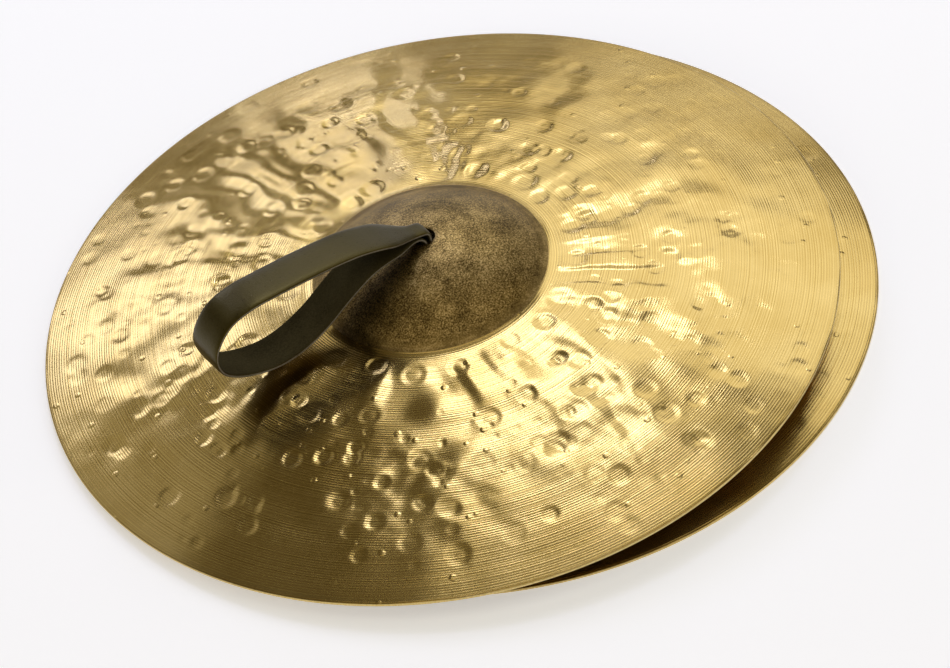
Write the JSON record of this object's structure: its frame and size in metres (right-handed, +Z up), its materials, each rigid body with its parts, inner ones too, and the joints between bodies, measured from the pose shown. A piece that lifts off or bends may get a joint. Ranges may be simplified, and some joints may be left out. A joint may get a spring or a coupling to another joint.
{
  "type": "pair of clash cymbals",
  "caption": "Pair of hand-hammered bronze hand cymbals, nested with the upper one shifted and leaning, each with a knotted leather hand strap.",
  "frame": {"origin": "under the middle of the pair's box, on the surface that the lower cymbal's rim stands on", "axes": "+Z up along the lower cymbal's axis, +X from the upper cymbal's axis towards the lower one's, so the upper strap's loop points along -X"},
  "size_m": [0.4823, 0.4572, 0.0948],
  "materials": {
    "bronze": "lathed and hammered cast bronze, bells left raw and dark",
    "strap_leather": "black-brown glossy leather with a suede inner face"
  },
  "bodies": {
    "lower_cymbal": {"lower_cymbal": "bronze"},
    "lower_strap": {"lower_strap_loop": "strap_leather", "lower_strap_neck_front": "strap_leather", "lower_strap_neck_back": "strap_leather", "lower_knot_tail_1": "strap_leather", "lower_knot_tail_2": "strap_leather", "lower_knot_tail_3": "strap_leather", "lower_knot_tail_4": "strap_leather"},
    "upper_cymbal": {"upper_cymbal": "bronze"},
    "upper_strap": {"upper_strap_neck_front": "strap_leather", "upper_strap_neck_back": "strap_leather", "upper_knot_tail_1": "strap_leather", "upper_knot_tail_2": "strap_leather", "upper_knot_tail_3": "strap_leather", "upper_knot_tail_4": "strap_leather"},
    "upper_loop": {"upper_strap_loop": "strap_leather"}
  },
  "joints": [
    {"name": "upper_cymbal_lift", "type": "slide", "parent": "lower_cymbal", "child": "upper_cymbal", "axis": [0, 0, 1], "range_m": [0, 0.2]},
    {"name": "upper_strap_swivel", "type": "hinge", "parent": "upper_cymbal", "child": "upper_strap", "pos_m": [-0.01529, 0.00096, 0.07102], "axis": [-0.0453, 0.017, 0.9988], "continuous": true},
    {"name": "upper_strap_swing", "type": "hinge", "parent": "upper_strap", "child": "upper_loop", "pos_m": [-0.01529, 0.00096, 0.07102], "axis": [0, 0.9999, -0.0171], "range_deg": [0, 140]},
    {"name": "lower_strap_swivel", "type": "hinge", "parent": "lower_cymbal", "child": "lower_strap", "pos_m": [0.01249, 0, 0.0515], "axis": [0, 0, 1], "range_deg": [-10, 10]}
  ]
}
